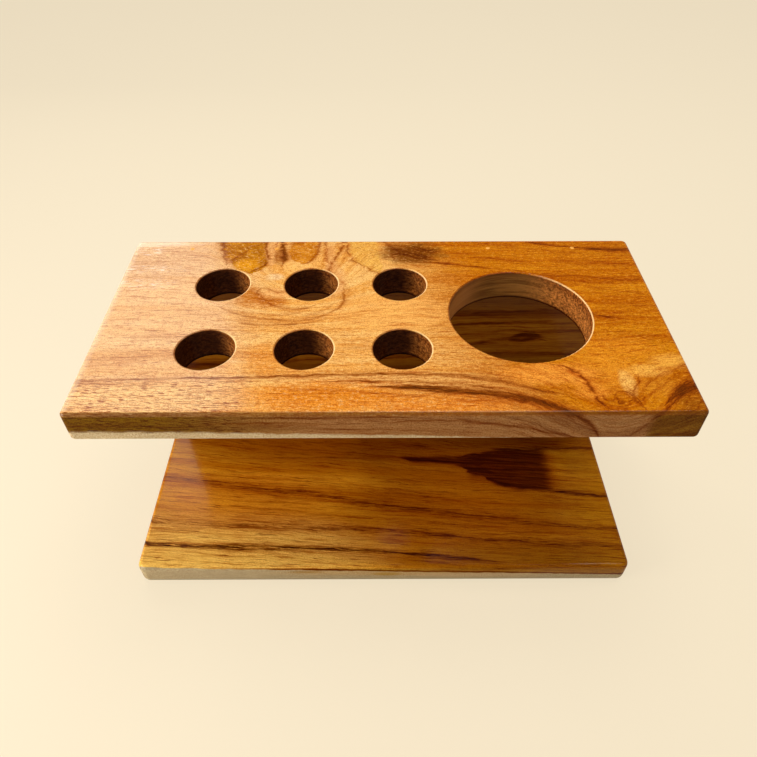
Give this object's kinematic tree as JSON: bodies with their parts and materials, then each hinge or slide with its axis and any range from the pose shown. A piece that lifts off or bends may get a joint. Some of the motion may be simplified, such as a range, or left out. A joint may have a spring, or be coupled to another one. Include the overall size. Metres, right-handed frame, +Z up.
{
  "type": "tool stand",
  "caption": "Varnished teak desk stand: bored top board on a full-width back board above a plain bottom board, open in front and at both ends, for upright tools and a cup.",
  "frame": {"origin": "middle of the underside, on the surface the stand rests on", "axes": "+X to the right along the boards, +Y to the back board, +Z up"},
  "size_m": [0.3, 0.145, 0.154],
  "materials": {
    "teak": "gloss varnish over oiled teak",
    "filler": "pale wood filler under varnish",
    "nail_steel": "bright steel"
  },
  "bodies": {
    "root": {"top_board": "teak", "back_board": "teak", "bottom_board": "teak", "top_nails": "nail_steel", "bottom_nails": "nail_steel", "top_filler_plug_1": "filler", "top_filler_plug_2": "filler", "top_filler_plug_3": "filler", "top_filler_plug_4": "filler", "bottom_filler_plug_1": "filler", "bottom_filler_plug_2": "filler", "bottom_filler_plug_3": "filler", "bottom_filler_plug_4": "filler"}
  },
  "joints": []
}
